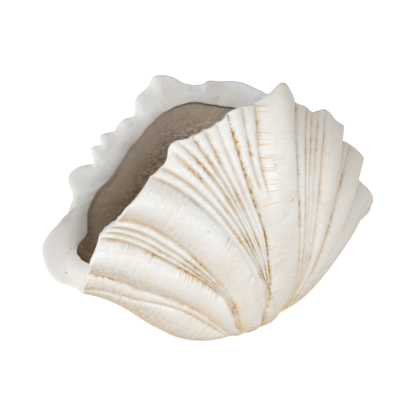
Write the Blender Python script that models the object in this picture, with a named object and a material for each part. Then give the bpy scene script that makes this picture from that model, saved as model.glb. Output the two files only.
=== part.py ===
"""Shell planter: two gaping fluted valves joined along their keel, cast in one piece as an open vessel.

The long axis of the gape lies along X, the valves open towards +Z, and the shell stands on a flat foot
at Z = 0. The valve towards -Y is the front one. Run with: blender --background --python part.py
"""
import math

import bmesh
import bpy
import numpy as np

NAME = "shell"
MM = 0.001

# The ribs start on this ellipse on the floor, and the belly is cut flat at Z = 0 around it for the foot.
FOOT_CENTRE_X = 10 * MM
FOOT_HALF_LENGTH = 36 * MM
FOOT_HALF_WIDTH = 28 * MM
# The ribs crowd towards the +X end of the foot: 1 would space them evenly, less crowds them more.
UMBO_CROWDING = 0.23

# Each valve's margin is measured by angle and radius from this point, seen along Y: 0 degrees is the
# low end of the gape at -X, 90 straight up and 180 the low end at +X.
GAPE_CENTRE_X = 10 * MM
GAPE_CENTRE_Z = 82 * MM
GAPE_HALF_WIDTH = 58 * MM
GAPE_ROUNDING = 0.55

FRONT_MARGIN = [
    (0, 163), (6, 167), (12.5, 168), (17, 173), (27, 173), (34, 167), (40, 172), (57, 173), (60, 177),
    (64, 189), (70, 184), (76, 184), (81, 187), (86, 195), (92, 195), (96, 206), (99.5, 219), (103, 209),
    (108, 196), (111, 195), (116, 190.5), (120.5, 198), (125, 193), (128.5, 193), (130.5, 183), (134, 180),
    (138, 184), (146, 187), (150, 177), (156, 175), (164, 186), (169.5, 194), (174, 197), (180, 191)]
BACK_MARGIN = [
    (0, 163), (3, 179), (6, 189), (13, 194), (17, 189), (21, 182), (27, 172), (31, 173), (36, 184),
    (40, 180), (44.5, 169), (48, 180), (51, 176), (53, 181), (58, 174), (62, 177), (67, 173), (70.5, 186),
    (76, 189), (79.5, 198), (84, 194), (89, 183), (94, 179), (98.5, 182), (104, 180.5), (113, 184), (121, 183),
    (128, 185), (135, 188), (143, 180), (151, 187), (160, 185), (168, 190), (180, 191)]

# Ribs: the angle of the groove that each starts at, and how far its crest stands above its grooves
# at the margin, in mm. Broad ribs alternate with bands of fine ones.
FRONT_RIBS = [
    (0, 1.5), (4, 2.5), (11.5, 7), (26, 1.2), (28.5, 1.2), (31, 1.5), (34.5, 9), (52.5, 1.5), (57, 1.8),
    (62, 1.6), (66, 1.8), (70.5, 2), (75, 2), (79.5, 2), (83.5, 2.5), (88.5, 2.5), (93, 12), (107.5, 3),
    (112.5, 1.2), (115.5, 1), (118, 1.2), (120.5, 9), (134.5, 2), (138.5, 9), (154.5, 8), (173, 1.5),
    (180, 0)]
BACK_RIBS = [
    (0, 1), (3, 7), (21, 1.5), (25, 2), (30, 7), (44.5, 3), (51, 3), (58, 1.5), (62, 1.5), (67, 10),
    (89, 1.2), (92, 1.5), (96, 10), (119, 1.5), (122, 1.5), (126, 8), (142, 1.2), (145, 8), (160, 6),
    (174, 1.5), (180, 0)]
# Degrees between the mesh's meridians on a rib, and their number on the outermost rib at each end.
RIB_SPACING = 2.7
END_MERIDIANS = 4
# 1 makes a rib's section half a sine wave, less makes its crest flatter.
CREST_FLATNESS = 0.8
# Up to this share of the way to the margin the ribs stand out square to the belly, then turn towards Y.
SQUARE_UP_TO = 0.7
# No rib stands out further than this share of its own width.
SLIMMEST_RIB = 0.25

# On the front valve the grooves don't run straight to the foot: those of a band draw together under the
# belly. Each row gives a groove's angle at these shares of the way from foot to margin.
TRACK_STEPS = (0, 0.14, 0.25, 0.37, 0.47, 0.62, 0.75, 1)
FRONT_TRACKS = [
    (0, 0, 0, 0, 0, 0, 0, 0), (8, 9, 9, 10, 10, 7.5, 5, 4), (14, 11.5, 11.5, 13, 14, 11.5, 10, 11.5),
    (24, 20, 20, 25.5, 28, 26.5, 25.5, 26), (28, 23, 23, 28, 30.5, 32, 33, 34.5),
    (44, 42, 42, 48.5, 51, 52, 52, 52.5), (49, 44, 44, 51.5, 56, 56.5, 57, 57),
    (53, 44.6, 44.6, 53, 60, 64, 63, 62), (57, 45.2, 45.2, 54, 62.5, 67.5, 68.5, 66),
    (64, 46.2, 46.2, 55.2, 68, 74, 75, 75), (72, 47, 47, 56.5, 72, 82, 82.5, 83.5),
    (80, 59, 59, 66, 78, 85.5, 86.5, 88.5), (86, 70, 70, 76, 84.5, 89, 90, 93),
    (109, 110, 110, 108.5, 107.5, 107, 107, 107.5), (120, 120, 120, 120, 120, 120, 120, 120.5),
    (130, 130, 130, 131.5, 133, 135.5, 137, 138.5), (148, 148, 148, 149, 151, 155, 158.5, 154.5),
    (180, 180, 180, 180, 180, 180, 180, 180)]

# Small ribs that fuse into one as they near the foot: first groove, last groove, fused height in mm, and
# the shares of the way up between which they fuse.
FUSED = (83.5, 107.5, 12, 0.66, 0.82)

# Handles of the curve that each rib follows from the foot, around the belly and up to the margin.
ROLL_OUT = 35 * MM
ROLL_OUT_SIDES = -10 * MM
ROLL_OUT_RIGHT = 63 * MM
ROLL_OUT_SHOULDER = 45 * MM
BELLY_SAG = 10 * MM
BELLY_SAG_RIGHT = 22 * MM
BELLY_REACH = 80 * MM
BELLY_REACH_TOP = -8 * MM
BELLY_REACH_RIGHT = -12 * MM
BELLY_BULGE = 56 * MM
BELLY_BULGE_TOP = -10 * MM
BELLY_BULGE_RIGHT = 20 * MM
BELLY_DROP_LEFT = 60 * MM
BELLY_DROP_END = 20 * MM
BELLY_DROP_RIGHT = 6 * MM
BELLY_AIM_X = -12 * MM
BELLY_AIM_Z = 144 * MM
BELLY_AIM_RISE = 101 * MM

# The smooth lip runs from the margin down to the throat, where the rough cavity starts.
EDGE_THICKNESS = 6 * MM
EDGE_ROUNDING = 3 * MM
EDGE_SOFTENING = 4
THROAT_LOW_ANGLE = 13
THROAT_RADIUS = [
    (0, 163), (8, 147), (20, 153), (28, 152), (37, 145), (55, 150), (75, 163), (85, 167), (105, 157),
    (130, 158), (160, 165), (172, 170), (180, 177)]
THROAT_HALF_WIDTH = [
    (0, 0), (1, 14), (4, 25), (9, 31), (21, 35), (39, 41), (60, 46), (90, 48), (120, 46), (141, 41),
    (159, 35), (171, 31), (176, 25), (179, 14), (180, 0)]
THROAT_UNDERCUT = 6 * MM
THROAT_UNDERSIDE = 7 * MM
THROAT_ROUNDING = 0.5

# The cavity keeps this much wall inside the belly, and this much floor over the foot.
WALL = 13 * MM
FLOOR = 12 * MM
FLOOR_INSET = 4.3 * MM
CAVITY_CENTRE = (10 * MM, 0.0, 150 * MM)

OUTER_STEPS = [0, 0.05, 0.11, 0.18, 0.26, 0.34, 0.42, 0.5, 0.58, 0.66, 0.74, 0.82, 0.9, 0.97]
LIP_STEPS = [0.25, 0.6]
CAVITY_STEPS = [0.9, 0.76, 0.6, 0.44, 0.28, 0.13, 0]


def smooth_table(table, angles):
    """Read a table of (angle, value) along a smooth curve that turns only at the table's own peaks."""
    x, y = np.array(table, dtype=float).T
    step = np.diff(x)
    rise = np.diff(y) / step
    slope = np.zeros(len(x))
    turning = rise[:-1] * rise[1:] <= 0
    safe = np.where(turning, 1, rise[:-1] + rise[1:])
    slope[1:-1] = np.where(turning, 0, 2 * rise[:-1] * rise[1:] / safe)
    i = np.clip(np.searchsorted(x, angles, side="right") - 1, 0, len(x) - 2)
    u = (angles - x[i]) / step[i]
    start = (1 + 2 * u) * (1 - u) ** 2 * y[i] + u * (1 - u) ** 2 * step[i] * slope[i]
    end = u * u * (3 - 2 * u) * y[i + 1] + u * u * (u - 1) * step[i] * slope[i + 1]
    return start + end


def smoothstep(values, low, high):
    share = np.clip((values - low) / (high - low), 0, 1)
    return share * share * (3 - 2 * share)


def meridians(ribs):
    """One row for each of the mesh's meridians: its angle, its share of its rib and the rib's height."""
    rows = []
    for (start, height), (end, _) in zip(ribs, ribs[1:]):
        count = max(2, round((end - start) / RIB_SPACING))
        share = np.arange(count) / count
        end_share = np.arange(END_MERIDIANS) / END_MERIDIANS
        if start == 0:
            share = end_share ** 2
        if end == 180:
            share = 1 - (1 - end_share) ** 2
        rows.extend((start + (end - start) * u, u, height) for u in share)
    return np.array(rows)


def tracked(angles, step):
    """The angles that the front valve's meridians have at this share of the way up the belly."""
    places = [smooth_table(list(zip(TRACK_STEPS, row)), step) for row in FRONT_TRACKS]
    return np.interp(angles, [row[-1] for row in FRONT_TRACKS], places)


def rib_rises(angles, share, height, front, smooth, steps):
    """How far each point stands above the grooves: a round crest on each rib, and sharp grooves."""
    in_groove = np.flatnonzero(share == 0)
    rib = np.cumsum(share == 0) - 1
    width = np.linalg.norm(smooth[np.append(in_groove, 0)[rib + 1]] - smooth[in_groove[rib]], axis=2)
    profile = np.sin(math.pi * share)[:, None] ** CREST_FLATNESS
    rises = np.minimum(MM * height[:, None] * steps, SLIMMEST_RIB * width) * profile
    first, last, fused_height, fused_below, apart_above = FUSED
    fused_share = np.clip((angles - first) / (last - first), 0, 1)[:, None]
    fused_rises = MM * fused_height * steps * np.sin(math.pi * fused_share) ** CREST_FLATNESS
    inside = (front & (angles > first) & (angles < last))[:, None]
    return rises + (fused_rises - rises) * inside * (1 - smoothstep(steps, fused_below, apart_above))


def stack(x, y, z):
    return np.stack(np.broadcast_arrays(x, y, z), axis=-1)


def unit(vectors):
    return vectors / np.linalg.norm(vectors, axis=-1, keepdims=True)


def soften(vectors, passes):
    """Even out the directions of neighbours round a ring."""
    for _ in range(passes):
        neighbours = np.roll(vectors, 1, axis=0) + np.roll(vectors, -1, axis=0)
        vectors = unit(2 * vectors + neighbours)
    return vectors


def bezier(points, t):
    p0, p1, p2, p3 = (p[:, None, :] for p in points)
    t = np.asarray(t, dtype=float)[None, :, None]
    return (1 - t) ** 3 * p0 + 3 * (1 - t) ** 2 * t * p1 + 3 * (1 - t) * t * t * p2 + t ** 3 * p3


def foot_point(angles, side, inset, z):
    around = math.pi * (angles / 180) ** UMBO_CROWDING
    x = FOOT_CENTRE_X - (FOOT_HALF_LENGTH - inset) * np.cos(around)
    y = side * (FOOT_HALF_WIDTH - inset) * np.sin(around)
    return stack(x, y, z), around


def margin_point(angles, front, side):
    turn = np.radians(angles)
    radius = MM * np.where(front, smooth_table(FRONT_MARGIN, angles), smooth_table(BACK_MARGIN, angles))
    x = GAPE_CENTRE_X - radius * np.cos(turn)
    y = side * GAPE_HALF_WIDTH * np.sin(turn) ** GAPE_ROUNDING
    z = GAPE_CENTRE_Z + radius * np.sin(turn)
    return stack(x, y, z)


def belly_handles(angles, side, margin):
    """The ends and handles of each rib's curve: out under the belly, then up to the margin."""
    foot, around = foot_point(angles, side, 0, 0)
    up = np.sin(np.radians(angles))
    along = np.cos(np.radians(angles))
    right = np.clip(-np.cos(around), 0, 1)
    out_x = -(ROLL_OUT + ROLL_OUT_RIGHT * right) * np.cos(around)
    out_y = (ROLL_OUT + ROLL_OUT_SIDES * np.sin(around) + ROLL_OUT_SHOULDER * right) * np.sin(around)
    low = foot + stack(out_x, side * out_y, -BELLY_SAG - BELLY_SAG_RIGHT * right)
    aim_x = BELLY_AIM_X - margin[:, 0]
    aim_z = BELLY_AIM_Z + BELLY_AIM_RISE * along - margin[:, 2]
    reach = BELLY_REACH + BELLY_REACH_TOP * up + BELLY_REACH_RIGHT * np.clip(-along, 0, 1) ** 2
    reach = reach / np.hypot(aim_x, aim_z)
    bulge = BELLY_BULGE * np.sqrt(up) + BELLY_BULGE_TOP * up * up - BELLY_BULGE_RIGHT * along * up
    drop = np.where(along > 0, BELLY_DROP_LEFT, BELLY_DROP_RIGHT) * (1 - up)
    drop = drop + BELLY_DROP_END * np.clip(along, 0, 1) * (1 - up) ** 4
    high = margin + stack(reach * aim_x, side * bulge, reach * aim_z - drop)
    return foot, low, high


def normals_of(grid):
    """Outward normals of a closed band of points, by the differences between its neighbours."""
    around = np.roll(grid, -1, axis=0) - np.roll(grid, 1, axis=0)
    upward = np.gradient(grid, axis=1)
    return unit(np.cross(around, upward))


def shell_rings(angles, share, height, front):
    """All rings of the shell, from the foot up the outside, over the lip and down into the cavity."""
    side = np.where(front, -1.0, 1.0)
    steps = np.array(OUTER_STEPS + [1.0])
    smooth = np.zeros((len(angles), len(steps), 3))
    for ring, step in enumerate(steps):
        drawn = np.where(front, tracked(angles, step), angles)
        margin = margin_point(drawn, front, side)
        foot, low, high = belly_handles(drawn, side, margin)
        smooth[:, ring] = bezier((foot, low, high, margin), [step])[:, 0]
    sideways = stack(0 * side, side, 0)[:, None, :]
    towards_y = np.clip((steps - SQUARE_UP_TO) / (1 - SQUARE_UP_TO), 0, 1)[None, :, None]
    direction = unit((1 - towards_y) * normals_of(smooth) + towards_y * sideways)
    outer = smooth + direction * rib_rises(angles, share, height, front, smooth, steps)[:, :, None]
    outer[:, :, 2] = np.maximum(outer[:, :, 2], 0)
    margin = outer[:, -1]
    outer = outer[:, :-1]

    low_angle = THROAT_LOW_ANGLE + angles * (180 - 2 * THROAT_LOW_ANGLE) / 180
    turn = np.radians(low_angle)
    throat_radius = MM * smooth_table(THROAT_RADIUS, angles)
    throat = stack(GAPE_CENTRE_X - throat_radius * np.cos(turn),
                   side * MM * smooth_table(THROAT_HALF_WIDTH, angles),
                   GAPE_CENTRE_Z + throat_radius * np.sin(turn))

    rising = soften(unit(margin - high), EDGE_SOFTENING)
    across = throat - margin
    inward = soften(unit(across - np.sum(across * rising, axis=-1, keepdims=True) * rising), EDGE_SOFTENING)
    crest = margin + inward * EDGE_THICKNESS / 2
    lip_top = margin + inward * EDGE_THICKNESS
    lip_top = lip_top + unit(throat - lip_top) * EDGE_ROUNDING
    margin = margin - rising * EDGE_ROUNDING / 2
    lip = [lip_top + (throat - lip_top) * step for step in LIP_STEPS]

    mouth = throat + stack(THROAT_UNDERCUT * np.cos(np.radians(angles)),
                           side * THROAT_UNDERCUT * np.sin(np.radians(angles)) ** THROAT_ROUNDING,
                           -THROAT_UNDERSIDE)
    inner_foot, _ = foot_point(angles, side, FLOOR_INSET, FLOOR)
    centre = np.array(CAVITY_CENTRE)
    inner_low = low + unit(centre - low) * WALL
    inner_low[:, 2] = FLOOR
    inner_high = high + unit(centre - high) * WALL
    cavity = bezier((inner_foot, inner_low, inner_high, mouth), CAVITY_STEPS)

    rings = [outer[:, i] for i in range(outer.shape[1])]
    rings += [margin, crest, lip_top] + lip + [throat, mouth]
    rings += [cavity[:, i] for i in range(cavity.shape[1])]
    return rings


def build_shell():
    # The front valve runs from the -X end to the +X end, and the back valve returns.
    front_rows = meridians(FRONT_RIBS)
    back_rows = meridians(mirrored(BACK_RIBS))
    back_rows[:, 0] = 180 - back_rows[:, 0]
    angles, share, height = np.concatenate([front_rows, back_rows]).T
    front = np.arange(len(angles)) < len(front_rows)
    rings = shell_rings(angles, share, height, front)

    mesh = bpy.data.meshes.new(NAME)
    ball = bmesh.new()
    bmesh.ops.create_uvsphere(ball, u_segments=len(angles), v_segments=len(rings) + 1, radius=1)
    for vertex in ball.verts:
        level = round((len(rings) + 1) * math.acos(max(-1, min(1, -vertex.co.z))) / math.pi)
        turn = math.atan2(vertex.co.y, vertex.co.x) + math.pi
        column = round(len(angles) * turn / (2 * math.pi)) % len(angles)
        if level == 0:
            vertex.co = (FOOT_CENTRE_X, 0, 0)
        elif level == len(rings) + 1:
            vertex.co = (FOOT_CENTRE_X, 0, FLOOR)
        else:
            vertex.co = rings[level - 1][column]
    ball.to_mesh(mesh)
    ball.free()
    return mesh


def mirrored(ribs):
    """The same ribs listed from the other end."""
    starts = [180 - start for start, _ in reversed(ribs)]
    heights = [height for _, height in reversed(ribs[:-1])] + [0]
    return list(zip(starts, heights))


def cast_resin():
    material = bpy.data.materials.new("painted cast resin")
    material.use_nodes = True
    shader = material.node_tree.nodes["Principled BSDF"]
    shader.inputs["Base Color"].default_value = (0.78, 0.74, 0.68, 1)
    shader.inputs["Roughness"].default_value = 0.75
    shader.inputs["Metallic"].default_value = 0
    return material


for old in list(bpy.data.objects):
    bpy.data.objects.remove(old)
collection = bpy.data.collections.new("shell planter")
bpy.context.scene.collection.children.link(collection)
shell = bpy.data.objects.new(NAME, build_shell())
shell.data.materials.append(cast_resin())
shell.data.shade_smooth()
shell.data.set_sharp_from_angle(angle=math.radians(40))
collection.objects.link(shell)
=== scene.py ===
import math

import bpy
import numpy as np
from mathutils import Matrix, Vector, noise


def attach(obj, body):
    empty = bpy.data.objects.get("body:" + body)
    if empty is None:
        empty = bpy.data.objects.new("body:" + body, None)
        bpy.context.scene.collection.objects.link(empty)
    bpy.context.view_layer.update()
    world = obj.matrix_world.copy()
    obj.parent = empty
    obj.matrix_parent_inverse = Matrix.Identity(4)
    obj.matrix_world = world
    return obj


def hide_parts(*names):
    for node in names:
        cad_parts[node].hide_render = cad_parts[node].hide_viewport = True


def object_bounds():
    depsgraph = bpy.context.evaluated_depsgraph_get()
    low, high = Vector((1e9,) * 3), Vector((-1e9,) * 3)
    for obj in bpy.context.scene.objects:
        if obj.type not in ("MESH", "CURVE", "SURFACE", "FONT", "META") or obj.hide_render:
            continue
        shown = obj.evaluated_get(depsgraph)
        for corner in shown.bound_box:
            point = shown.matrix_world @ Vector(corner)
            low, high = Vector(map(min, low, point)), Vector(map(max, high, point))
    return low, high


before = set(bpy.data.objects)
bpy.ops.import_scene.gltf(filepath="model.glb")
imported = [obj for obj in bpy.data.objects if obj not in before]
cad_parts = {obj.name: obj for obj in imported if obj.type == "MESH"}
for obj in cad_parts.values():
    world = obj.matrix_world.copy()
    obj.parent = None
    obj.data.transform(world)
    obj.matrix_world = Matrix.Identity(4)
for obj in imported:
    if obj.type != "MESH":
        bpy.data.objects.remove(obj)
cad_low, cad_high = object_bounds()
MM = 0.001

# The shell: two gaping fluted valves joined along their keel, poured in one piece in a soft mould.
# The mould gives it sharp grooves between round ribs, faint growth steps across them, a smooth rolled
# lip, and a rough cavity where the resin set against the open air.
FOOT_CENTRE_X = 10 * MM
FOOT_HALF_LENGTH = 36 * MM
FOOT_HALF_WIDTH = 28 * MM
UMBO_CROWDING = 0.23

# Each valve's margin is measured by angle and radius in mm from this point, seen along Y: 0 degrees is
# the low end of the gape at -X, 90 straight up and 180 the low end at +X.
GAPE_CENTRE_X = 10 * MM
GAPE_CENTRE_Z = 82 * MM
GAPE_HALF_WIDTH = 58 * MM
GAPE_ROUNDING = 0.55
FRONT_MARGIN = [
    (0, 163), (6, 167), (12.5, 168), (17, 173), (27, 173), (34, 167), (40, 172), (57, 173), (60, 177),
    (64, 189), (70, 184), (76, 184), (81, 187), (86, 195), (92, 195), (96, 206), (99.5, 219), (103, 209),
    (108, 196), (111, 195), (116, 190.5), (120.5, 198), (125, 193), (128.5, 193), (130.5, 183), (134, 180),
    (138, 184), (146, 187), (150, 177), (156, 175), (164, 186), (169.5, 194), (174, 197), (180, 191)]
BACK_MARGIN = [
    (0, 163), (3, 179), (6, 189), (13, 194), (17, 189), (21, 182), (27, 172), (31, 173), (36, 184),
    (40, 180), (44.5, 169), (48, 180), (51, 176), (53, 181), (58, 174), (62, 177), (67, 173), (70.5, 186),
    (76, 189), (79.5, 198), (84, 194), (89, 183), (94, 179), (98.5, 182), (104, 180.5), (113, 184),
    (121, 183), (128, 185), (135, 188), (143, 180), (151, 187), (160, 185), (168, 190), (180, 191)]

# Ribs: the angle of the groove that each starts at, how far its crest stands above its grooves at the
# margin in mm, and how much ochre wash was left in that groove, from 0 to 1, or more where it is dark.
FRONT_RIBS = [
    (0, 1.5, 0.5), (4, 2.5, 0.9), (11.5, 7, 0.8), (26, 1.2, 0.9), (28.5, 1.2, 0.6), (31, 1.5, 0.6),
    (34.5, 9, 0.9), (52.5, 1.5, 0.5), (57, 1.8, 0.8), (62, 1.6, 0.9), (66, 1.8, 0.9), (70.5, 2, 0.7),
    (75, 2, 0.9), (79.5, 2, 0.5), (83.5, 2.5, 1.4), (88.5, 2.5, 0.7), (93, 12, 0.7), (107.5, 3, 0.6),
    (112.5, 1.2, 0.8), (115.5, 1, 0.7), (118, 1.2, 0.6), (120.5, 9, 0.6), (134.5, 2, 0.7), (138.5, 9, 0.8),
    (154.5, 8, 0.7), (173, 1.5, 0.9), (180, 0, 0.6)]
BACK_RIBS = [
    (0, 1, 0.8), (3, 7, 0.7), (21, 1.5, 0.8), (25, 2, 0.7), (30, 7, 0.8), (44.5, 3, 0.9), (51, 3, 0.6),
    (58, 1.5, 0.8), (62, 1.5, 0.7), (67, 10, 0.9), (89, 1.2, 0.7), (92, 1.5, 0.8), (96, 10, 0.8),
    (119, 1.5, 0.7), (122, 1.5, 0.9), (126, 8, 0.6), (142, 1.2, 0.8), (145, 8, 0.8), (160, 6, 0.7),
    (174, 1.5, 0.8), (180, 0, 0.6)]
CREST_FLATNESS = 0.8
SQUARE_UP_TO = 0.7
SLIMMEST_RIB = 0.25

# On the front valve the grooves don't run straight to the foot: those of a band draw together under the
# belly. Each row gives a groove's angle at these shares of the way from foot to margin.
TRACK_STEPS = (0, 0.14, 0.25, 0.37, 0.47, 0.62, 0.75, 1)
FRONT_TRACKS = [
    (0, 0, 0, 0, 0, 0, 0, 0), (8, 9, 9, 10, 10, 7.5, 5, 4), (14, 11.5, 11.5, 13, 14, 11.5, 10, 11.5),
    (24, 20, 20, 25.5, 28, 26.5, 25.5, 26), (28, 23, 23, 28, 30.5, 32, 33, 34.5),
    (44, 42, 42, 48.5, 51, 52, 52, 52.5), (49, 44, 44, 51.5, 56, 56.5, 57, 57),
    (53, 44.6, 44.6, 53, 60, 64, 63, 62), (57, 45.2, 45.2, 54, 62.5, 67.5, 68.5, 66),
    (64, 46.2, 46.2, 55.2, 68, 74, 75, 75), (72, 47, 47, 56.5, 72, 82, 82.5, 83.5),
    (80, 59, 59, 66, 78, 85.5, 86.5, 88.5), (86, 70, 70, 76, 84.5, 89, 90, 93),
    (109, 110, 110, 108.5, 107.5, 107, 107, 107.5), (120, 120, 120, 120, 120, 120, 120, 120.5),
    (130, 130, 130, 131.5, 133, 135.5, 137, 138.5), (148, 148, 148, 149, 151, 155, 158.5, 154.5),
    (180, 180, 180, 180, 180, 180, 180, 180)]

# Small ribs that fuse into one as they near the foot: first groove, last groove, fused height, and the
# shares of the way up between which they fuse. Some shallow grooves fade out over the same stretch.
FUSED = (83.5, 107.5, 12, 0.66, 0.82)
FADING_GROOVES = (52.5, 70.5, 79.5, 88.5, 93)

# Handles of the curve that each rib follows from the foot, around the belly and up to the margin.
ROLL_OUT = 35 * MM
ROLL_OUT_SIDES = -10 * MM
ROLL_OUT_RIGHT = 63 * MM
ROLL_OUT_SHOULDER = 45 * MM
BELLY_SAG = 10 * MM
BELLY_SAG_RIGHT = 22 * MM
BELLY_REACH = 80 * MM
BELLY_REACH_TOP = -8 * MM
BELLY_REACH_RIGHT = -12 * MM
BELLY_BULGE = 56 * MM
BELLY_BULGE_TOP = -10 * MM
BELLY_BULGE_RIGHT = 20 * MM
BELLY_DROP_LEFT = 60 * MM
BELLY_DROP_END = 20 * MM
BELLY_DROP_RIGHT = 6 * MM
BELLY_AIM_X = -12 * MM
BELLY_AIM_Z = 144 * MM
BELLY_AIM_RISE = 101 * MM

# The smooth lip runs from the margin down to the throat, where the rough cavity starts.
EDGE_THICKNESS = 6 * MM
EDGE_ROUNDING = 3 * MM
EDGE_SOFTENING = 60
THROAT_LOW_ANGLE = 13
THROAT_RADIUS = [
    (0, 163), (8, 147), (20, 153), (28, 152), (37, 145), (55, 150), (75, 163), (85, 165), (105, 157),
    (130, 158), (160, 165), (172, 170), (180, 177)]
THROAT_HALF_WIDTH = [
    (0, 0), (1, 14), (4, 25), (9, 31), (21, 35), (39, 41), (60, 46), (90, 48), (120, 46), (141, 41),
    (159, 35), (171, 31), (176, 25), (179, 14), (180, 0)]
THROAT_UNDERCUT = 6 * MM
THROAT_UNDERSIDE = 7 * MM
THROAT_ROUNDING = 0.5
WALL = 13 * MM
FLOOR = 12 * MM
FLOOR_INSET = 4.3 * MM
CAVITY_CENTRE = (10 * MM, 0.0, 150 * MM)

# The mesh: degrees between its meridians on each valve, the fewest on a rib, and its rings.
FRONT_SPACING = 0.53
BACK_SPACING = 0.8
FEWEST_ON_RIB = 5
END_MERIDIANS = 14
OUTER_RINGS = 116
EDGE_RINGS = 6
LIP_RINGS = 14
CAVITY_RINGS = 32

# Relief too fine for the solid: growth steps across the ribs, the waver of a hand-made surface, the
# chipped edge of the throat and the lumps of the cavity. Distances that run along a rib are in mm, and
# each fade is the distance from the margin over which a kind of relief dies out.
GROWTH_SPACING = 8.5
GROWTH_DEPTH = 0.45 * MM
GROWTH_TREAD = 0.8
GROWTH_BOW = 5.0
GROWTH_EVENING = 600
GROWTH_WANDER = 6.0
GROWTH_WANDER_SIZE = 40 * MM
GROWTH_JITTER = 3.0
GROWTH_JITTER_SIZE = 14 * MM
GROWTH_STRENGTH = 0.6
GROWTH_PATCHINESS = 1.4
GROWTH_PATCH_SIZE = 30 * MM
GROWTH_FAINTEST = 0.1
GROWTH_FADE = 25
WAVER = 0.7 * MM
WAVER_SIZE = 45 * MM
WAVER_INWARD = 0.4
WAVER_FADE = 30
GROOVE_DEPTH = 0.9 * MM
GROOVE_HALF_WIDTH = 1.6
GROOVE_FADE = 12
LIP_EVENING = 400
LIP_EVEN_FROM = 0.3
LIP_EVENNESS = 0.95
LIP_CROWN = 2 * MM
LIP_CROWN_FLATNESS = 0.8
LIP_WAVER = 2.2 * MM
LIP_WAVER_SIZE = 26 * MM
THROAT_EDGE = 0.07
THROAT_CHIPS = 1.6 * MM
THROAT_CHIP_SIZE = 15 * MM
CAVITY_LUMPS = 1.6 * MM
CAVITY_LUMP_SIZE = 14 * MM
CAVITY_CROWDING = 1.3
SHARP_FROM = math.radians(50)

# The wash and the strokes need to know how wide a rib is: strokes start at the narrower of these widths
# in mm and are full at the wider. Away from the ribs no groove is near.
STROKES_START = 14
STROKES_FULL = 26
FAR_FROM_GROOVE = 50.0


def smooth_table(table, angles):
    """Read a table of (angle, value) along a smooth curve that turns only at the table's own peaks."""
    x, y = np.array(table, dtype=float).T
    step = np.diff(x)
    rise = np.diff(y) / step
    slope = np.zeros(len(x))
    turning = rise[:-1] * rise[1:] <= 0
    safe = np.where(turning, 1, rise[:-1] + rise[1:])
    slope[1:-1] = np.where(turning, 0, 2 * rise[:-1] * rise[1:] / safe)
    i = np.clip(np.searchsorted(x, angles, side="right") - 1, 0, len(x) - 2)
    u = (angles - x[i]) / step[i]
    start = (1 + 2 * u) * (1 - u) ** 2 * y[i] + u * (1 - u) ** 2 * step[i] * slope[i]
    end = u * u * (3 - 2 * u) * y[i + 1] + u * u * (u - 1) * step[i] * slope[i + 1]
    return start + end


def meridians(grooves, heights, washes, spacing):
    """One row for each meridian: its angle, its share of its rib, the rib's height and both its washes."""
    rows = []
    for rib, height in enumerate(heights):
        start, end = grooves[rib], grooves[rib + 1]
        share = np.arange(max(FEWEST_ON_RIB, round((end - start) / spacing)))
        share = share / len(share)
        end_share = np.arange(END_MERIDIANS) / END_MERIDIANS
        if start == 0:
            share = end_share ** 2
        if end == 180:
            share = 1 - (1 - end_share) ** 2
        for u in share:
            rows.append((start + (end - start) * u, u, height, washes[rib], washes[rib + 1]))
    return np.array(rows)


def stack(x, y, z):
    return np.stack(np.broadcast_arrays(x, y, z), axis=-1)


def unit(vectors):
    return vectors / np.linalg.norm(vectors, axis=-1, keepdims=True)


def soften(vectors, passes):
    """Even out the directions of neighbours round a ring."""
    for _ in range(passes):
        neighbours = np.roll(vectors, 1, axis=0) + np.roll(vectors, -1, axis=0)
        vectors = unit(2 * vectors + neighbours)
    return vectors


def bezier(points, t):
    p0, p1, p2, p3 = (p[:, None, :] for p in points)
    t = np.asarray(t, dtype=float)[None, :, None]
    return (1 - t) ** 3 * p0 + 3 * (1 - t) ** 2 * t * p1 + 3 * (1 - t) * t * t * p2 + t ** 3 * p3


def normals_of(grid):
    """Outward normals of a closed band of points, by the differences between its neighbours."""
    around = np.roll(grid, -1, axis=0) - np.roll(grid, 1, axis=0)
    upward = np.gradient(grid, axis=1)
    return unit(np.cross(around, upward))


def even_out(values, passes):
    """Average each value with its neighbours round a ring, again and again."""
    for _ in range(passes):
        values = (2 * values + np.roll(values, 1, axis=0) + np.roll(values, -1, axis=0)) / 4
    return values


def grain(points, size, shift=0.0):
    """Soft noise from -1 to 1 at these points, with features about this size."""
    places = (points / size + shift).reshape(-1, 3)
    return np.array([noise.noise(Vector(p)) for p in places]).reshape(points.shape[:-1])


def rough_grain(points, size, shift):
    """The same noise with finer noise on it, a third of the size and half as strong."""
    return grain(points, size) + 0.5 * grain(points, size / 3, shift)


def tracked(angles, step):
    """The angles that the front valve's meridians have at this share of the way up the belly."""
    places = [smooth_table(list(zip(TRACK_STEPS, row)), step) for row in FRONT_TRACKS]
    return np.interp(angles, [row[-1] for row in FRONT_TRACKS], places)


def smoothstep(values, low, high):
    share = np.clip((values - low) / (high - low), 0, 1)
    return share * share * (3 - 2 * share)


def margin_point(angles, front, side):
    turn = np.radians(angles)
    radius = MM * np.where(front, smooth_table(FRONT_MARGIN, angles), smooth_table(BACK_MARGIN, angles))
    x = GAPE_CENTRE_X - radius * np.cos(turn)
    y = side * GAPE_HALF_WIDTH * np.sin(turn) ** GAPE_ROUNDING
    return stack(x, y, GAPE_CENTRE_Z + radius * np.sin(turn))


def foot_point(angles, side, inset, z):
    around = math.pi * (angles / 180) ** UMBO_CROWDING
    x = FOOT_CENTRE_X - (FOOT_HALF_LENGTH - inset) * np.cos(around)
    y = side * (FOOT_HALF_WIDTH - inset) * np.sin(around)
    return stack(x, y, z), around


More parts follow.
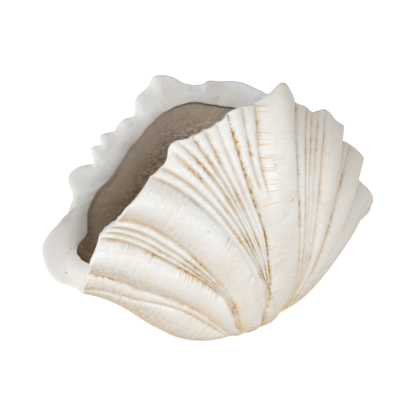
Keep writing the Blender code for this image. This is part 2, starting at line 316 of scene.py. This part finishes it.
def belly_handles(angles, side, margin):
    """The ends and handles of each rib's curve: out under the belly, then up to the margin."""
    foot, around = foot_point(angles, side, 0, 0)
    up = np.sin(np.radians(angles))
    along = np.cos(np.radians(angles))
    right = np.clip(-np.cos(around), 0, 1)
    out_x = -(ROLL_OUT + ROLL_OUT_RIGHT * right) * np.cos(around)
    out_y = (ROLL_OUT + ROLL_OUT_SIDES * np.sin(around) + ROLL_OUT_SHOULDER * right) * np.sin(around)
    low = foot + stack(out_x, side * out_y, -BELLY_SAG - BELLY_SAG_RIGHT * right)
    aim_x = BELLY_AIM_X - margin[:, 0]
    aim_z = BELLY_AIM_Z + BELLY_AIM_RISE * along - margin[:, 2]
    reach = BELLY_REACH + BELLY_REACH_TOP * up + BELLY_REACH_RIGHT * np.clip(-along, 0, 1) ** 2
    reach = reach / np.hypot(aim_x, aim_z)
    bulge = BELLY_BULGE * np.sqrt(up) + BELLY_BULGE_TOP * up * up - BELLY_BULGE_RIGHT * along * up
    drop = np.where(along > 0, BELLY_DROP_LEFT, BELLY_DROP_RIGHT) * (1 - up)
    drop = drop + BELLY_DROP_END * np.clip(along, 0, 1) * (1 - up) ** 4
    high = margin + stack(reach * aim_x, side * bulge, reach * aim_z - drop)
    return foot, low, high


# The front valve's meridians run from the -X end to the +X end, and the back valve's return.
grooves, heights, washes = np.array(FRONT_RIBS).T
front_rows = meridians(grooves, heights[:-1], washes, FRONT_SPACING)
grooves, heights, washes = np.array(BACK_RIBS).T
back_rows = meridians(180 - grooves[::-1], heights[-2::-1], washes[::-1], BACK_SPACING)
back_rows[:, 0] = 180 - back_rows[:, 0]
angles, share, height, wash_before, wash_after = np.concatenate([front_rows, back_rows]).T
count = len(angles)
front = np.arange(count) < len(front_rows)
side = np.where(front, -1.0, 1.0)
in_groove = np.flatnonzero(share == 0)
rib_of = np.cumsum(share == 0) - 1
rib_start = in_groove[rib_of]
rib_end = np.append(in_groove, 0)[rib_of + 1]

# The outside, from the foot up to the margin.
turn = np.radians(angles)
steps = np.linspace(0, 1, OUTER_RINGS)
smooth = np.zeros((count, OUTER_RINGS, 3))
for ring, step in enumerate(steps):
    drawn = np.where(front, tracked(angles, step), angles)
    margin = margin_point(drawn, front, side)
    foot, low, high = belly_handles(drawn, side, margin)
    smooth[:, ring] = bezier((foot, low, high, margin), [step])[:, 0]
sideways = stack(0 * side, side, 0)[:, None, :]
towards_y = np.clip((steps - SQUARE_UP_TO) / (1 - SQUARE_UP_TO), 0, 1)[None, :, None]
out = unit((1 - towards_y) * normals_of(smooth) + towards_y * sideways)
profile = np.sin(math.pi * share)[:, None] ** CREST_FLATNESS
rib_width = np.linalg.norm(smooth[rib_end] - smooth[rib_start], axis=2)
rib_rise = np.minimum(MM * height[:, None] * steps, SLIMMEST_RIB * rib_width) * profile
fused_from, fused_to, fused_height, fused_below, apart_above = FUSED
fused_share = np.clip((angles - fused_from) / (fused_to - fused_from), 0, 1)[:, None]
fused_rise = MM * fused_height * steps * np.sin(math.pi * fused_share) ** CREST_FLATNESS
in_fused = (front & (angles > fused_from) & (angles < fused_to))[:, None]
fusing = in_fused * (1 - smoothstep(steps, fused_below, apart_above))
rib_rise = rib_rise + (fused_rise - rib_rise) * fusing
outer = smooth + out * rib_rise[:, :, None]

lengths = np.linalg.norm(np.diff(outer, axis=1), axis=2)
outer_along = np.zeros(outer.shape[:2])
outer_along[:, :-1] = np.cumsum(lengths[:, ::-1], axis=1)[:, ::-1] / MM
outer_groove = np.minimum(share, 1 - share)[:, None] * rib_width / MM

# Growth steps follow an evener line than the lobed margin and bow towards it on each rib. They come and
# go, and fade out at the margin.
radius = np.linalg.norm(outer[:, -1, [0, 2]] - (GAPE_CENTRE_X, GAPE_CENTRE_Z), axis=1) / MM
growth_along = outer_along + (even_out(radius, GROWTH_EVENING) - radius)[:, None]
ribwise = stack(growth_along * MM, (angles * MM)[:, None], (side * MM)[:, None])
line = growth_along + GROWTH_WANDER * grain(ribwise, GROWTH_WANDER_SIZE)
line = line + GROWTH_JITTER * grain(ribwise, GROWTH_JITTER_SIZE, shift=5.0)
line = line + GROWTH_BOW * (4 * share * (1 - share))[:, None]
tread = (line / GROWTH_SPACING) % 1
growth = GROWTH_DEPTH * np.minimum(tread / GROWTH_TREAD, (1 - tread) / (1 - GROWTH_TREAD))
patches = GROWTH_STRENGTH + GROWTH_PATCHINESS * grain(ribwise, GROWTH_PATCH_SIZE, shift=9.0)
growth = growth * np.clip(patches, GROWTH_FAINTEST, 1) * np.clip(outer_along / GROWTH_FADE, 0, 1)
cut = GROOVE_DEPTH * np.clip(1 - outer_groove / GROOVE_HALF_WIDTH, 0, 1)
cut = cut * np.clip(outer_along / GROOVE_FADE, 0, 1)

# Some shallow grooves fade out on the way down, and all the relief dies away at the foot.
groove_angle = np.where(share < 0.5, angles[rib_start], angles[rib_end])
fading = (front & np.isin(groove_angle, FADING_GROOVES))[:, None]
kept = 1 - fading * (1 - smoothstep(steps, fused_below, apart_above))
cut = cut * kept
waver = WAVER * (grain(outer, WAVER_SIZE) - WAVER_INWARD) * np.clip(outer_along / WAVER_FADE, 0, 1)
carving = (waver - growth - cut) * np.sin(math.pi * steps / 2)
outer = outer + normals_of(outer) * carving[:, :, None]
outer[:, :, 2] = np.maximum(outer[:, :, 2], 0)
margin = outer[:, -1]

# The throat is a wavering line round the gape, and the lip is a soft roll between it and the margin.
low_angle = THROAT_LOW_ANGLE + angles * (180 - 2 * THROAT_LOW_ANGLE) / 180
throat_turn = np.radians(low_angle)
throat_radius = MM * smooth_table(THROAT_RADIUS, angles)
throat = stack(GAPE_CENTRE_X - throat_radius * np.cos(throat_turn),
               side * MM * smooth_table(THROAT_HALF_WIDTH, angles),
               GAPE_CENTRE_Z + throat_radius * np.sin(throat_turn))
rising = soften(unit(margin - high), EDGE_SOFTENING)
across = throat - margin
inward = soften(unit(across - np.sum(across * rising, axis=-1, keepdims=True) * rising), EDGE_SOFTENING)
lip_top = margin + inward * EDGE_THICKNESS
lip_top = lip_top + unit(throat - lip_top) * EDGE_ROUNDING
chips = THROAT_CHIPS * rough_grain(throat, THROAT_CHIP_SIZE, shift=3.0)
throat = throat + inward * chips[:, None]

below_edge = margin - rising * EDGE_ROUNDING / 2
edge_turn = np.linspace(0, 1, EDGE_RINGS)[None, :, None]
crest = margin + inward * EDGE_THICKNESS / 2
edge = (1 - edge_turn) ** 2 * below_edge[:, None] + edge_turn ** 2 * lip_top[:, None]
edge = edge + 2 * edge_turn * (1 - edge_turn) * (crest + rising * EDGE_ROUNDING / 4)[:, None]

# The lobes of the margin die away within the first third of the lip, where its surface turns even.
even_top = even_out(lip_top, LIP_EVENING)
lip_steps = np.linspace(0, 1, LIP_RINGS + 1)[1:]
evened = LIP_EVENNESS * smoothstep(lip_steps, 0, LIP_EVEN_FROM)[None, :, None]
start = (1 - evened) * lip_top[:, None] + evened * even_top[:, None]
lip = start + (throat[:, None] - start) * lip_steps[None, :, None]
crown = LIP_CROWN * np.sin(math.pi * lip_steps) ** LIP_CROWN_FLATNESS
lip_waver = LIP_WAVER * grain(lip, LIP_WAVER_SIZE) * np.sin(math.pi * lip_steps)
lip = lip + normals_of(lip) * (crown + lip_waver)[:, :, None]

# The cavity keeps a wall's thickness inside the belly, and its surface is rough.
undercut_y = side * THROAT_UNDERCUT * np.sin(turn) ** THROAT_ROUNDING
mouth = throat + stack(THROAT_UNDERCUT * np.cos(turn), undercut_y, -THROAT_UNDERSIDE)
inner_foot, _ = foot_point(angles, side, FLOOR_INSET, FLOOR)
centre = np.array(CAVITY_CENTRE)
inner_low = low + unit(centre - low) * WALL
inner_low[:, 2] = FLOOR
inner_high = high + unit(centre - high) * WALL
cavity_steps = 1 - np.linspace(0, 1, CAVITY_RINGS) ** CAVITY_CROWDING
cavity = bezier((inner_foot, inner_low, inner_high, mouth), cavity_steps)
lumps = CAVITY_LUMPS * rough_grain(cavity, CAVITY_LUMP_SIZE, shift=7.0)
cavity = cavity + normals_of(cavity) * (lumps * np.sin(math.pi * cavity_steps) ** 0.5)[:, :, None]
under_edge = throat + (mouth - throat) * THROAT_EDGE
cavity = np.concatenate([under_edge[:, None], cavity], axis=1)

grid = np.concatenate([outer[:, :-1], edge, lip, cavity], axis=1)
rings = grid.shape[1]
grid = np.clip(grid, np.array(cad_low), np.array(cad_high))

# What the paint needs at each point: the distance in mm along the rib from the margin, less than nothing
# inside the cavity, the distance from the nearest groove, its wash, and whether it is lip or cavity.
outer_count = OUTER_RINGS - 1
lip_end = outer_count + EDGE_RINGS + LIP_RINGS
along = np.zeros((count, rings))
along[:, :outer_count] = growth_along[:, :-1]
depths = np.linalg.norm(np.diff(cavity, axis=1), axis=2)
along[:, lip_end + 1:] = -np.cumsum(depths, axis=1) / MM
groove = np.full((count, rings), FAR_FROM_GROOVE)
groove[:, :outer_count] = outer_groove[:, :-1]
groove[:, outer_count] = outer_groove[:, -1]
wash = np.where(share < 0.5, wash_before, wash_after)[:, None] + 0 * along
wash[:, :outer_count] *= kept[:, :-1]
on_lip = np.zeros((count, rings))
on_lip[:, outer_count + 2:lip_end] = 1
inside = np.zeros((count, rings))
inside[:, lip_end:] = 1
strokes = np.zeros((count, rings))
wide = smoothstep(rib_width / MM, STROKES_START, STROKES_FULL)
strokes[:, :outer_count] = np.maximum(wide, fusing)[:, :-1]

# One closed mesh: the rings joined by four-sided faces, with a fan over the foot and one in the cavity.
vertices = [tuple(p) for p in grid.reshape(-1, 3)]
vertices += [(FOOT_CENTRE_X, 0, 0), (FOOT_CENTRE_X, 0, FLOOR)]
faces = []
for column in range(count):
    here, there = column * rings, (column + 1) % count * rings
    faces.append((count * rings, there, here))
    faces.extend((here + r, there + r, there + r + 1, here + r + 1) for r in range(rings - 1))
    faces.append((here + rings - 1, there + rings - 1, count * rings + 1))
mesh = bpy.data.meshes.new("shell_surface")
mesh.from_pydata(vertices, [], faces)
mesh.shade_smooth()
mesh.set_sharp_from_angle(angle=SHARP_FROM)
pole = np.zeros((2, 3))
rib_place = np.concatenate([stack(along, angles[:, None], groove).reshape(-1, 3), pole])
zones = np.concatenate([stack(wash, on_lip, inside).reshape(-1, 3), pole])
mesh.attributes.new("rib_place", "FLOAT_VECTOR", "POINT").data.foreach_set("vector", rib_place.ravel())
mesh.attributes.new("zones", "FLOAT_VECTOR", "POINT").data.foreach_set("vector", zones.ravel())
strokes = np.append(strokes.ravel(), (0, 0))
mesh.attributes.new("strokes", "FLOAT", "POINT").data.foreach_set("value", strokes)
shell = bpy.data.objects.new("shell_surface", mesh)
bpy.context.scene.collection.objects.link(shell)


def linear(hex_colour):
    """An sRGB hex colour as the linear colour that a shader takes."""
    parts = [int(hex_colour[i:i + 2], 16) / 255 for i in (1, 3, 5)]
    return [c / 12.92 if c <= 0.04045 else ((c + 0.055) / 1.055) ** 2.4 for c in parts] + [1.0]


def add(tree, kind, inputs, out=0, **settings):
    """Add a node with its settings, give its inputs values or links, and return one of its outputs."""
    made = tree.nodes.new(kind)
    for name, value in settings.items():
        setattr(made, name, value)
    for name, value in inputs.items():
        if isinstance(value, bpy.types.NodeSocket):
            tree.links.new(value, made.inputs[name])
        else:
            made.inputs[name].default_value = value
    return made.outputs[out]


# Cast polyresin, painted matt white by brush over a sanded skin, then rubbed with a thin ochre wash
# that stays in the grooves and scratches. The eye sees chalky white with warm, ragged ochre lines.
PAINT = "#F5F6F4"
PAINT_WARM = "#F0EAE1"
PAINT_GREY = "#E0DDD7"
PAINT_COOL = "#F3F4F4"
# Painted shade with an earthy tint, laid on the faces that turn down under the belly.
UNDERSIDE_SHADE = "#A49480"
# Painted shade: a grey laid on the +X end of the ribs and on the low end of the lip.
PAINT_SHADE_GREY = "#D3CEC4"
STAIN = "#EADFD0"
SPECK = "#8F7050"
WASH = "#D6B88C"
WASH_DEEP = "#A37D4C"
# Painted light: a pale colour laid on the cavity towards +X and in a band below the throat.
CAVITY_PAINTED_LIGHT = "#EBDDCB"
CAVITY_MID = "#B9A181"
CAVITY_DARK = "#8A7253"
# This colour is both the real scrapes and wrinkles and the painted shade in the hollow under the top of
# the throat.
CAVITY_SCRAPE_AND_SHADE = "#5F4A33"
ROUGHNESS = 0.7
RESIN_IOR = 1.5

# Sizes of the patterns in mm. Brush marks and grit are finer in life than a picture shows, so they are
# drawn as coarse as they need to be seen.
RAGGED_EDGE = 4.35
WORN_STRETCH = 31.2
HELD_PATCH = 41.7
CRACKED_PATCH = 26.3
BRUSH_MOTTLING = 3.85
SPECK_SPACING = 4.76
WARM_PATCH = 55.6
LIP_STAIN = 71.4
EARTH_PATCH = 33.3
SCRAPE = (5.88, 5.88, 2.38)
WRINKLE = (18.2, 18.2, 9.09)
FINE_GRIT = 2.0
COARSE_GRIT = 6.25

# Marks that follow the ribs: how many mm they are apart, or long, down the rib, and how many degrees of
# the margin they span.
GROWTH_LINE = (2.38, 20)
HAIR_CRACK = (2.5, 25)
STRIA = (0.667, 4.55)
SCRATCH = (33.3, 0.909)


def per_metre(size):
    """How many features of this size in mm fit in a metre, which is what a noise texture takes."""
    return 1 / (size * MM)


def rib_scale(mark):
    """The scale that stretches noise along or across the ribs to make these marks."""
    spacing, span = mark
    return 1 / spacing, 1 / span, 0.0


EASED = {"interpolation_type": "SMOOTHSTEP"}
paint = bpy.data.materials.new("painted cast polyresin")
paint.use_nodes = True
tree = paint.node_tree
shader = tree.nodes["Principled BSDF"]
MATH, RANGE, MIX = "ShaderNodeMath", "ShaderNodeMapRange", "ShaderNodeMix"
NOISE, XYZ = "ShaderNodeTexNoise", "ShaderNodeSeparateXYZ"
place = add(tree, "ShaderNodeAttribute", {}, "Vector", attribute_name="rib_place")
zone = add(tree, "ShaderNodeAttribute", {}, "Vector", attribute_name="zones")
spot = add(tree, "ShaderNodeTexCoord", {}, "Object")
along_mm = add(tree, XYZ, {0: place}, "X")
groove_mm = add(tree, XYZ, {0: place}, "Z")
wash_left = add(tree, XYZ, {0: zone}, "X")
lip_share = add(tree, XYZ, {0: zone}, "Y")
inside_share = add(tree, XYZ, {0: zone}, "Z")

# The wash lies up to 4 mm wide along a groove, with ragged edges, and wears away in stretches.
ragged = {"Vector": spot, "Scale": per_metre(RAGGED_EDGE), "Detail": 4.0, "Roughness": 0.65}
ragged = add(tree, NOISE, ragged, "Fac")
ragged = add(tree, RANGE, {0: ragged, 1: 0.3, 2: 0.7, 3: -2.0, 4: 2.0})
far = add(tree, MATH, {0: groove_mm, 1: ragged}, operation="ADD")
soft_band = add(tree, RANGE, {0: far, 1: 0.3, 2: 4.2, 3: 1.0, 4: 0.0}, **EASED)
core_band = add(tree, RANGE, {0: far, 1: 0.0, 2: 0.9, 3: 1.0, 4: 0.0}, **EASED)
patches = add(tree, NOISE, {"Vector": spot, "Scale": per_metre(WORN_STRETCH), "Detail": 2.0}, "Fac")
worn = add(tree, RANGE, {0: patches, 1: 0.36, 2: 0.6, 3: 0.12, 4: 1.0}, **EASED)
deep = add(tree, RANGE, {0: patches, 1: 0.5, 2: 0.66, 3: 0.0, 4: 1.0}, **EASED)
strong = add(tree, RANGE, {0: wash_left, 1: 1.0, 2: 1.4, 3: 0.0, 4: 0.7})
deep = add(tree, MATH, {0: deep, 1: strong}, operation="MAXIMUM")
from_edge = add(tree, RANGE, {0: along_mm, 1: 1.0, 2: 10.0, 3: 0.2, 4: 1.0})
band = add(tree, MATH, {0: soft_band, 1: worn}, operation="MULTIPLY")
band = add(tree, MATH, {0: band, 1: wash_left}, operation="MULTIPLY")
band = add(tree, MATH, {0: band, 1: from_edge}, operation="MULTIPLY")
core = add(tree, MATH, {0: core_band, 1: deep}, operation="MULTIPLY")
core = add(tree, MATH, {0: core, 1: wash_left}, operation="MULTIPLY")

# Growth lines about 2.5 mm apart hold a little wash near the grooves, as short dashes.
stretched = add(tree, "ShaderNodeVectorMath", {0: place, 1: rib_scale(GROWTH_LINE)}, operation="MULTIPLY")
lines = add(tree, NOISE, {"Vector": stretched, "Scale": 1.0, "Detail": 2.5, "Roughness": 0.6}, "Fac")
dashes = add(tree, RANGE, {0: lines, 1: 0.53, 2: 0.66, 3: 0.0, 4: 1.0}, **EASED)
near_groove = add(tree, RANGE, {0: far, 1: 1.0, 2: 17.0, 3: 1.0, 4: 0.1}, **EASED)
held = add(tree, NOISE, {"Vector": spot, "Scale": per_metre(HELD_PATCH), "Detail": 2.0}, "Fac")
held = add(tree, RANGE, {0: held, 1: 0.36, 2: 0.52, 3: 0.1, 4: 1.0}, **EASED)
stroke_share = add(tree, "ShaderNodeAttribute", {}, "Fac", attribute_name="strokes")
held = add(tree, MATH, {0: held, 1: stroke_share}, operation="MULTIPLY")
dashes = add(tree, MATH, {0: dashes, 1: near_groove}, operation="MULTIPLY")
dashes = add(tree, MATH, {0: dashes, 1: held}, operation="MULTIPLY")

# Hair cracks across the wide ribs, in patches, where the wash crept into the paint.
cracks = add(tree, "ShaderNodeVectorMath", {0: place, 1: rib_scale(HAIR_CRACK)}, operation="MULTIPLY")
cracks = add(tree, NOISE, {"Vector": cracks, "Scale": 1.0, "Detail": 3.0, "Roughness": 0.6}, "Fac")
cracks = add(tree, MATH, {0: cracks, 1: 0.5}, operation="SUBTRACT")
cracks = add(tree, MATH, {0: cracks}, operation="ABSOLUTE")
cracks = add(tree, RANGE, {0: cracks, 1: 0.004, 2: 0.018, 3: 0.6, 4: 0.0})
cracked = add(tree, NOISE, {"Vector": spot, "Scale": per_metre(CRACKED_PATCH), "Detail": 2.0}, "Fac")
cracked = add(tree, RANGE, {0: cracked, 1: 0.48, 2: 0.62, 3: 0.0, 4: 1.0}, **EASED)
cracks = add(tree, MATH, {0: cracks, 1: cracked}, operation="MULTIPLY")
cracks = add(tree, MATH, {0: cracks, 1: stroke_share}, operation="MULTIPLY")

# Hairline growth striae between them, a fine mottling of the brushed paint, and a few dark specks.
striae = add(tree, "ShaderNodeVectorMath", {0: place, 1: rib_scale(STRIA)}, operation="MULTIPLY")
striae = add(tree, NOISE, {"Vector": striae, "Scale": 1.0, "Detail": 3.0, "Roughness": 0.65}, "Fac")
hairlines = add(tree, RANGE, {0: striae, 1: 0.52, 2: 0.68, 3: 0.0, 4: 0.8}, **EASED)
scratches = add(tree, "ShaderNodeVectorMath", {0: place, 1: rib_scale(SCRATCH)}, operation="MULTIPLY")
scratches = add(tree, NOISE, {"Vector": scratches, "Scale": 1.0, "Detail": 2.0, "Roughness": 0.6}, "Fac")
scratch_lines = add(tree, RANGE, {0: scratches, 1: 0.56, 2: 0.72, 3: 0.0, 4: 0.5}, **EASED)
mottling = {"Vector": spot, "Scale": per_metre(BRUSH_MOTTLING), "Detail": 4.0, "Roughness": 0.7}
mottling = add(tree, NOISE, mottling, "Fac")
mottling = add(tree, RANGE, {0: mottling, 1: 0.45, 2: 0.75, 3: 0.0, 4: 0.6})
specks = add(tree, NOISE, {"Vector": spot, "Scale": per_metre(SPECK_SPACING), "Detail": 0.0}, "Fac")
specks = add(tree, RANGE, {0: specks, 1: 0.845, 2: 0.88, 3: 0.0, 4: 0.5})

# The white itself: warmer in patches; greyer towards the high end at +X and darker and earthier under the
# belly, both painted shade.
tint = add(tree, NOISE, {"Vector": spot, "Scale": per_metre(WARM_PATCH), "Detail": 4.0}, "Fac")
tint = add(tree, RANGE, {0: tint, 1: 0.42, 2: 0.68, 3: 0.0, 4: 0.6})
skin = add(tree, MIX, {0: tint, 6: linear(PAINT), 7: linear(PAINT_WARM)}, 2, data_type="RGBA")
spot_x = add(tree, XYZ, {0: spot}, "X")
spot_z = add(tree, XYZ, {0: spot}, "Z")
high_end = add(tree, MATH, {0: spot_z, 1: 0.6, 2: spot_x}, operation="MULTIPLY_ADD")
# Painted shade: the +X end, turned away from the light, greys over.
shaded_end = add(tree, RANGE, {0: high_end, 1: 0.14, 2: 0.25, 3: 0.0, 4: 0.95}, **EASED)
skin = add(tree, MIX, {0: shaded_end, 6: skin, 7: linear(PAINT_SHADE_GREY)}, 2, data_type="RGBA")
facing = add(tree, "ShaderNodeNewGeometry", {}, "Normal")
facing_up = add(tree, XYZ, {0: facing}, "Z")
# Painted shade: faces turned downwards darken to an earthy colour.
under = add(tree, RANGE, {0: facing_up, 1: 0.0, 2: -0.6, 3: 0.0, 4: 0.9})
skin = add(tree, MIX, {0: under, 6: skin, 7: linear(UNDERSIDE_SHADE)}, 2, data_type="RGBA")
skin = add(tree, MIX, {0: hairlines, 6: skin, 7: linear(PAINT_GREY)}, 2, data_type="RGBA")
skin = add(tree, MIX, {0: scratch_lines, 6: skin, 7: linear(PAINT_GREY)}, 2, data_type="RGBA")

# The lip is cooler and smoother than the ribs, with faint stains, and greyer at its low end as painted
# shade.
stains = add(tree, NOISE, {"Vector": spot, "Scale": per_metre(LIP_STAIN), "Detail": 3.0}, "Fac")
stains = add(tree, RANGE, {0: stains, 1: 0.5, 2: 0.7, 3: 0.0, 4: 0.5}, **EASED)
lip_paint = add(tree, MIX, {0: stains, 6: linear(PAINT_COOL), 7: linear(STAIN)}, 2, data_type="RGBA")
# Painted shade: the low end of the lip greys over.
low_lip_shade = add(tree, RANGE, {0: spot_x, 1: -0.09, 2: -0.15, 3: 0.0, 4: 0.55}, **EASED)
lip_paint = add(tree, MIX, {0: low_lip_shade, 6: lip_paint, 7: linear(PAINT_SHADE_GREY)}, 2, data_type="RGBA")
skin = add(tree, MIX, {0: lip_share, 6: skin, 7: lip_paint}, 2, data_type="RGBA")

# Over the white go the brush mottling, the strokes and cracks, and then the wash and its specks.
skin = add(tree, MIX, {0: mottling, 6: skin, 7: linear(PAINT_GREY)}, 2, data_type="RGBA")
dash_share = add(tree, MATH, {0: dashes, 1: 0.8}, operation="MULTIPLY")
skin = add(tree, MIX, {0: dash_share, 6: skin, 7: linear(WASH)}, 2, data_type="RGBA")
skin = add(tree, MIX, {0: cracks, 6: skin, 7: linear(WASH)}, 2, data_type="RGBA")
band_share = add(tree, MATH, {0: band, 1: 0.75}, operation="MULTIPLY")
skin = add(tree, MIX, {0: band_share, 6: skin, 7: linear(WASH)}, 2, data_type="RGBA")
core_share = add(tree, MATH, {0: core, 1: 0.7}, operation="MULTIPLY")
skin = add(tree, MIX, {0: core_share, 6: skin, 7: linear(WASH_DEEP)}, 2, data_type="RGBA")
skin = add(tree, MIX, {0: specks, 6: skin, 7: linear(SPECK)}, 2, data_type="RGBA")

# The cavity is bare, scraped and wrinkled casting the colour of earth. It is paler towards +X and in a
# band below the throat, which is painted light, and dark in the hollow under the top of the throat, which
# is painted shade.
earth = {"Vector": spot, "Scale": per_metre(EARTH_PATCH), "Detail": 6.0, "Roughness": 0.65}
earth = add(tree, NOISE, earth, "Fac")
earth = add(tree, RANGE, {0: earth, 1: 0.3, 2: 0.7, 3: 0.0, 4: 1.0})
bare = add(tree, MIX, {0: earth, 6: linear(CAVITY_DARK), 7: linear(CAVITY_MID)}, 2, data_type="RGBA")
# Painted light: the cavity pales towards +X.
painted_light_right = add(tree, RANGE, {0: spot_x, 1: -0.08, 2: 0.04, 3: 0.0, 4: 1.0}, **EASED)
bare = add(tree, MIX, {0: painted_light_right, 6: bare, 7: linear(CAVITY_PAINTED_LIGHT)}, 2, data_type="RGBA")
scrapes = {0: spot, 1: [per_metre(size) for size in SCRAPE]}
scrapes = add(tree, "ShaderNodeVectorMath", scrapes, operation="MULTIPLY")
scrapes = add(tree, NOISE, {"Vector": scrapes, "Scale": 1.0, "Detail": 4.0, "Roughness": 0.7}, "Fac")
dark_scrapes = add(tree, RANGE, {0: scrapes, 1: 0.55, 2: 0.32, 3: 0.0, 4: 0.75})
bare = add(tree, MIX, {0: dark_scrapes, 6: bare, 7: linear(CAVITY_SCRAPE_AND_SHADE)}, 2, data_type="RGBA")
wrinkles = {0: spot, 1: [per_metre(size) for size in WRINKLE]}
wrinkles = add(tree, "ShaderNodeVectorMath", wrinkles, operation="MULTIPLY")
wrinkles = add(tree, NOISE, {"Vector": wrinkles, "Scale": 1.0, "Detail": 5.0, "Roughness": 0.65}, "Fac")
wrinkles = add(tree, MATH, {0: wrinkles, 1: 0.5}, operation="SUBTRACT")
wrinkles = add(tree, MATH, {0: wrinkles}, operation="ABSOLUTE")
wrinkles = add(tree, RANGE, {0: wrinkles, 1: 0.004, 2: 0.035, 3: 0.7, 4: 0.0})
bare = add(tree, MIX, {0: wrinkles, 6: bare, 7: linear(CAVITY_SCRAPE_AND_SHADE)}, 2, data_type="RGBA")
# Painted light: a pale band below the throat, except at the far -X end.
throat_light = add(tree, RANGE, {0: along_mm, 1: -50.0, 2: -10.0, 3: 0.0, 4: 0.9})
lit_rim = add(tree, RANGE, {0: spot_x, 1: -0.14, 2: -0.08, 3: 0.0, 4: 1.0}, **EASED)
throat_light = add(tree, MATH, {0: throat_light, 1: lit_rim}, operation="MULTIPLY")
bare = add(tree, MIX, {0: throat_light, 6: bare, 7: linear(CAVITY_PAINTED_LIGHT)}, 2, data_type="RGBA")
# Painted shade: a dark band just under the top of the throat, where the lip overhangs.
crevice_shade = add(tree, RANGE, {0: along_mm, 1: -6.0, 2: -0.5, 3: 0.0, 4: 0.85}, **EASED)
overhung = add(tree, RANGE, {0: spot_x, 1: -0.03, 2: -0.01, 3: 0.0, 4: 1.0}, **EASED)
crevice_shade = add(tree, MATH, {0: crevice_shade, 1: overhung}, operation="MULTIPLY")
bare = add(tree, MIX, {0: crevice_shade, 6: bare, 7: linear(CAVITY_SCRAPE_AND_SHADE)}, 2, data_type="RGBA")
colour = add(tree, MIX, {0: inside_share, 6: skin, 7: bare}, 2, data_type="RGBA")
tree.links.new(colour, shader.inputs["Base Color"])
shader.inputs["Roughness"].default_value = ROUGHNESS
shader.inputs["IOR"].default_value = RESIN_IOR

# Fine relief: growth lines and grain on the ribs, and a coarse grain in the cavity.
fine_grain = add(tree, NOISE, {"Vector": spot, "Scale": per_metre(FINE_GRIT), "Detail": 3.0}, "Fac")
outside_height = add(tree, MATH, {0: lines, 1: 0.7}, operation="MULTIPLY")
outside_height = add(tree, MATH, {0: striae, 1: 0.5, 2: outside_height}, operation="MULTIPLY_ADD")
outside_height = add(tree, MATH, {0: fine_grain, 1: 0.25, 2: outside_height}, operation="MULTIPLY_ADD")
coarse_grain = {"Vector": spot, "Scale": per_metre(COARSE_GRIT), "Detail": 5.0, "Roughness": 0.6}
coarse_grain = add(tree, NOISE, coarse_grain, "Fac")
inside_height = add(tree, MATH, {0: coarse_grain, 1: 2.5}, operation="MULTIPLY")
inside_height = add(tree, MATH, {0: scrapes, 1: 2.0, 2: inside_height}, operation="MULTIPLY_ADD")
relief = add(tree, MIX, {0: inside_share, 2: outside_height, 3: inside_height})
bump = add(tree, "ShaderNodeBump", {"Height": relief, "Strength": 0.6, "Distance": 0.6 * MM})
tree.links.new(bump, shader.inputs["Normal"])
mesh.materials.append(paint)
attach(shell, "root")
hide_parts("shell")

# A plain table top under the shell, large enough to fill the view from above. It is a matt white
# laminate, lit until it shows as pure white, and it throws a soft light up at the belly.
FLOOR_HALF_SIZE = 5.0
LAMINATE = "#FAFAFA"
LAMINATE_ROUGHNESS = 0.9
LAMINATE_GLOW = 0.55
floor_mesh = bpy.data.meshes.new("table_top")
corners = [(-1, -1), (1, -1), (1, 1), (-1, 1)]
corners = [(x * FLOOR_HALF_SIZE, y * FLOOR_HALF_SIZE, 0) for x, y in corners]
floor_mesh.from_pydata(corners, [], [(0, 1, 2, 3)])
floor = bpy.data.objects.new("table_top", floor_mesh)
bpy.context.scene.collection.objects.link(floor)
laminate = bpy.data.materials.new("matt white laminate")
laminate.use_nodes = True
shader = laminate.node_tree.nodes["Principled BSDF"]
shader.inputs["Base Color"].default_value = linear(LAMINATE)
shader.inputs["Roughness"].default_value = LAMINATE_ROUGHNESS
shader.inputs["Emission Color"].default_value = linear("#FFFFFF")
shader.inputs["Emission Strength"].default_value = LAMINATE_GLOW
floor_mesh.materials.append(laminate)

# The camera stands at the photo's angle, a little to the left of the front valve and above it.
CAMERA_AZIMUTH = math.radians(-30)
CAMERA_ELEVATION = math.radians(25)
CAMERA_DISTANCE = 1300 * MM
CAMERA_TARGET = Vector((0, 0, 143 * MM))
CAMERA_LENS = 105.6
CAMERA_SENSOR = 36
level = math.cos(CAMERA_ELEVATION)
back_x = math.sin(CAMERA_AZIMUTH) * level
back_y = -math.cos(CAMERA_AZIMUTH) * level
back = Vector((back_x, back_y, math.sin(CAMERA_ELEVATION)))
camera = bpy.data.objects.new("camera", bpy.data.cameras.new("camera"))
camera.data.lens = CAMERA_LENS
camera.data.sensor_width = CAMERA_SENSOR
camera.location = CAMERA_TARGET + CAMERA_DISTANCE * back
camera.rotation_euler = (-back).to_track_quat("-Z", "Y").to_euler()
bpy.context.scene.collection.objects.link(camera)
bpy.context.scene.camera = camera

# Soft studio light: a broad even light from the camera's left, over a white surround that is dimmer on
# the right.
GLOW_LEFT = 0.6
GLOW_RIGHT = 0.46
KEY_FROM = Vector((-1.0, -0.7, 0.6))
KEY_STRENGTH = 0.85
KEY_SPREAD = math.radians(50)
key = bpy.data.objects.new("broad_light", bpy.data.lights.new("broad_light", "SUN"))
key.data.energy = KEY_STRENGTH
key.data.angle = KEY_SPREAD
key.rotation_euler = (-KEY_FROM).to_track_quat("-Z", "Y").to_euler()
bpy.context.scene.collection.objects.link(key)
surround = bpy.data.worlds.new("white surround")
surround.use_nodes = True
surround.node_tree.nodes["Background"].inputs["Color"].default_value = (1.0, 1.0, 1.0, 1.0)
towards = add(surround.node_tree, "ShaderNodeTexCoord", {}, "Generated")
towards_x = add(surround.node_tree, XYZ, {0: towards}, "X")
glow = add(surround.node_tree, RANGE, {0: towards_x, 1: -0.6, 2: 0.9, 3: GLOW_LEFT, 4: GLOW_RIGHT})
surround.node_tree.links.new(glow, surround.node_tree.nodes["Background"].inputs["Strength"])
bpy.context.scene.world = surround
bpy.context.scene.view_settings.view_transform = "Standard"
